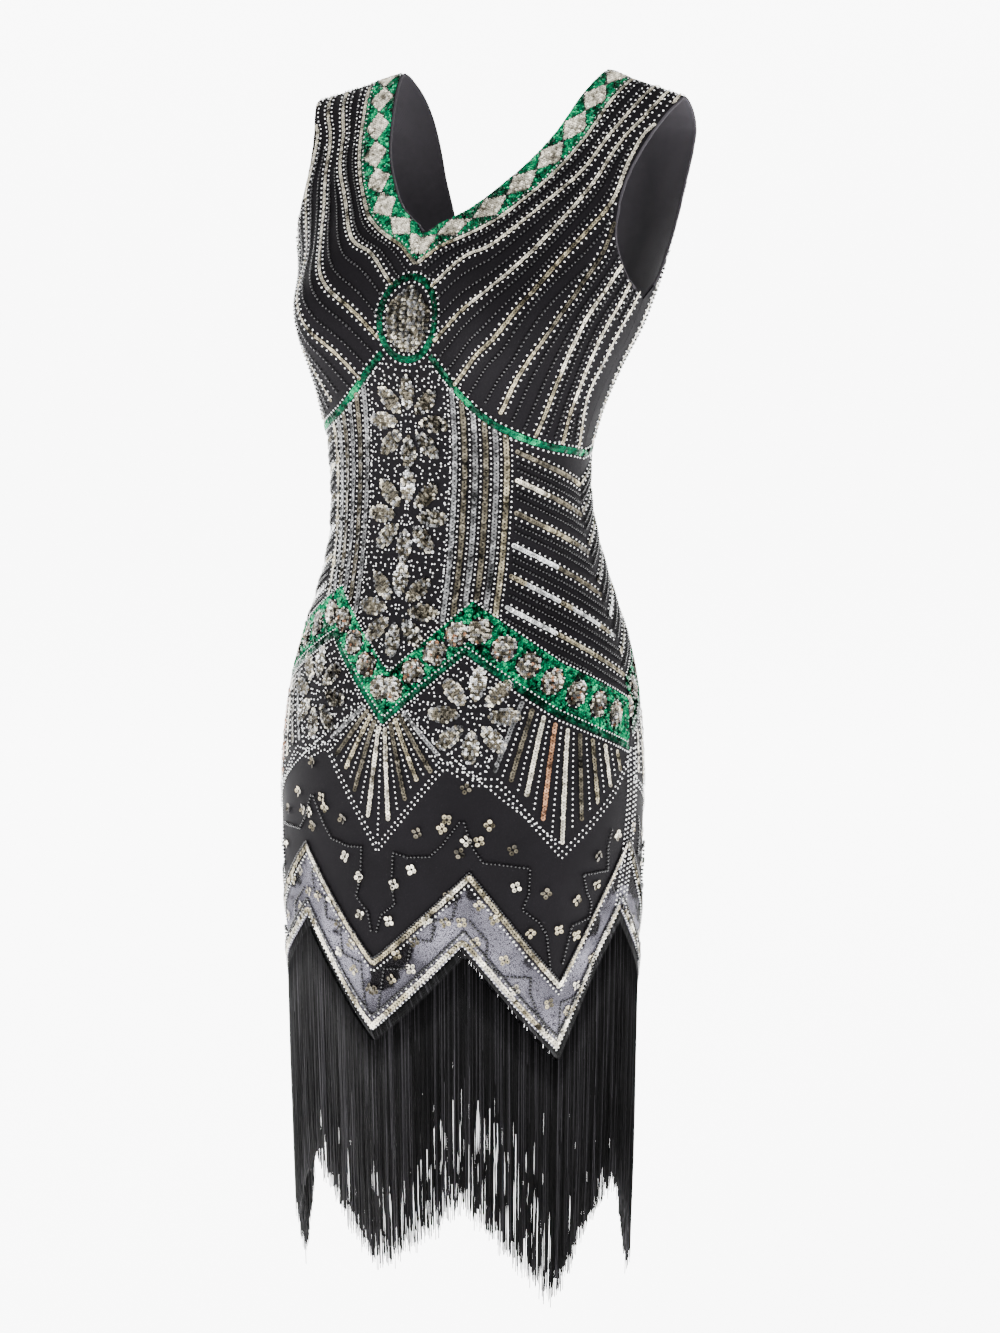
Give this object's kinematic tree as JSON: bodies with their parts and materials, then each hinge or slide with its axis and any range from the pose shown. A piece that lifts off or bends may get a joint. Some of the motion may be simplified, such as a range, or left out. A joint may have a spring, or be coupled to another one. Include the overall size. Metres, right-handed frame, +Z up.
{
  "type": "sleeveless fringed flapper dress",
  "caption": "Sleeveless V-necked evening dress of embroidered net over a knit lining, filled out as if worn, with a zigzag hem and a long thread fringe.",
  "frame": {"origin": "midway between the two shoulder seams, at the height of their neck ends, where the wearer's shoulders hold the dress up", "axes": "+Z up along the wearer, +X towards the wearer's left, and the front faces -Y"},
  "size_m": [0.36, 0.2996, 1.0921],
  "materials": {
    "net": "fine black net over a black lining, worn matt",
    "lining": "matt black knit",
    "fringe": "twisted rayon thread with a soft sheen",
    "green_sequins": "shiny emerald green sequins",
    "silver_sequins": "champagne silver sequins",
    "bronze_sequins": "antique bronze sequins",
    "white_beads": "glossy white seed beads",
    "black_beads": "glossy black seed beads"
  },
  "bodies": {
    "root": {"net_front": "net", "net_back": "net", "lining_front": "lining", "lining_back": "lining", "fringe_front": "fringe", "fringe_back": "fringe"}
  },
  "joints": []
}
